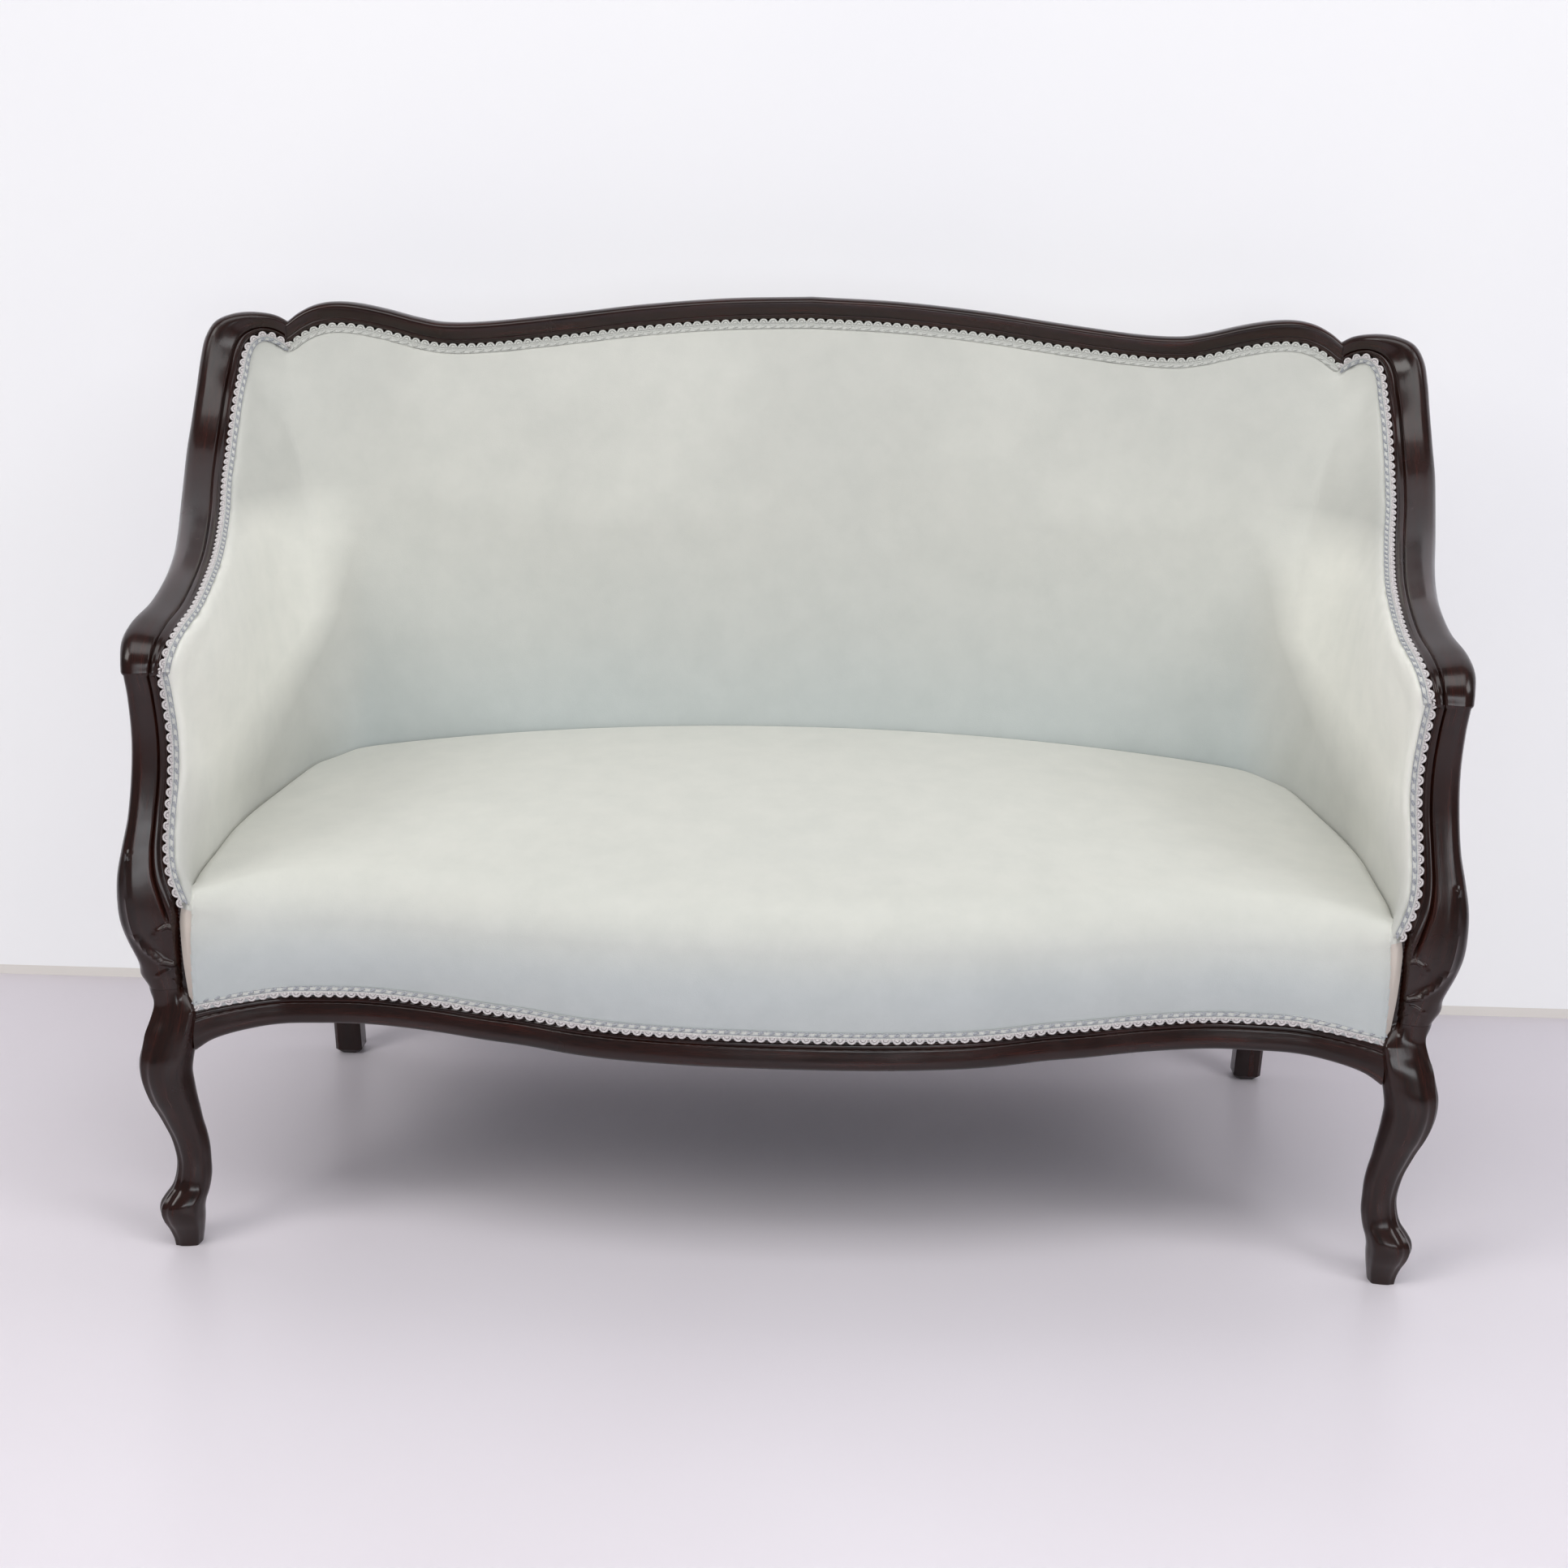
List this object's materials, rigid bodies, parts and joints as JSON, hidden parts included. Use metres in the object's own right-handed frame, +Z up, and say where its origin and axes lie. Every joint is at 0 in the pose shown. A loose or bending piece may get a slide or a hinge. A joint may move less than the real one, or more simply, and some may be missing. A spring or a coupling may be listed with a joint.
{
  "type": "sofa",
  "caption": "Two-seat show-wood sofa with a serpentine front, cabriole legs, curved wings that run down into the arms, and a padded seat, back and arms edged with braid.",
  "frame": {"origin": "on the floor, under the middle of the sofa's bounding box", "axes": "+X to the right of somebody facing the sofa's front, +Y from the front to the back, +Z up"},
  "size_m": [1.3774, 0.6204, 0.9173],
  "materials": {
    "mahogany": "polished, dark red-brown",
    "beech": "planed, unfinished",
    "velvet": "short pile, pale sage grey",
    "braid": "woven scroll gimp, off-white and grey-lilac",
    "spring_steel": "coppered wire",
    "jute": "coarse plain weave",
    "black_cotton": "plain black cotton"
  },
  "bodies": {
    "root": {"crest_rail": "mahogany", "arm_rail_right": "mahogany", "arm_rail_left": "mahogany", "arm_support_right": "mahogany", "arm_support_left": "mahogany", "front_leg_right": "mahogany", "front_leg_left": "mahogany", "rear_upright_right": "mahogany", "rear_upright_left": "mahogany", "side_seat_rail_right": "mahogany", "side_seat_rail_left": "mahogany", "front_seat_rail": "mahogany", "rear_seat_rail": "beech", "back_tacking_rail": "beech", "back_centre_upright": "beech", "seat_stretcher": "beech", "arm_tacking_rail_right": "beech", "arm_tacking_rail_left": "beech", "front_corner_block_right": "beech", "front_corner_block_left": "beech", "rear_corner_block_right": "beech", "rear_corner_block_left": "beech", "seat_webbing": "jute", "back_webbing": "jute", "spring_hessian": "jute", "dust_cover": "black_cotton", "seat_pad": "velvet", "back_pad": "velvet", "arm_pad_right": "velvet", "arm_pad_left": "velvet", "outside_back": "velvet", "outside_arm_right": "velvet", "outside_arm_left": "velvet", "crest_braid": "braid", "arm_braid_right": "braid", "arm_braid_left": "braid", "front_braid": "braid", "seat_spring_1": "spring_steel", "seat_spring_2": "spring_steel", "seat_spring_3": "spring_steel", "seat_spring_4": "spring_steel", "seat_spring_5": "spring_steel", "seat_spring_6": "spring_steel", "seat_spring_7": "spring_steel", "seat_spring_8": "spring_steel", "seat_spring_9": "spring_steel", "seat_spring_10": "spring_steel", "seat_spring_11": "spring_steel", "seat_spring_12": "spring_steel"}
  },
  "joints": []
}
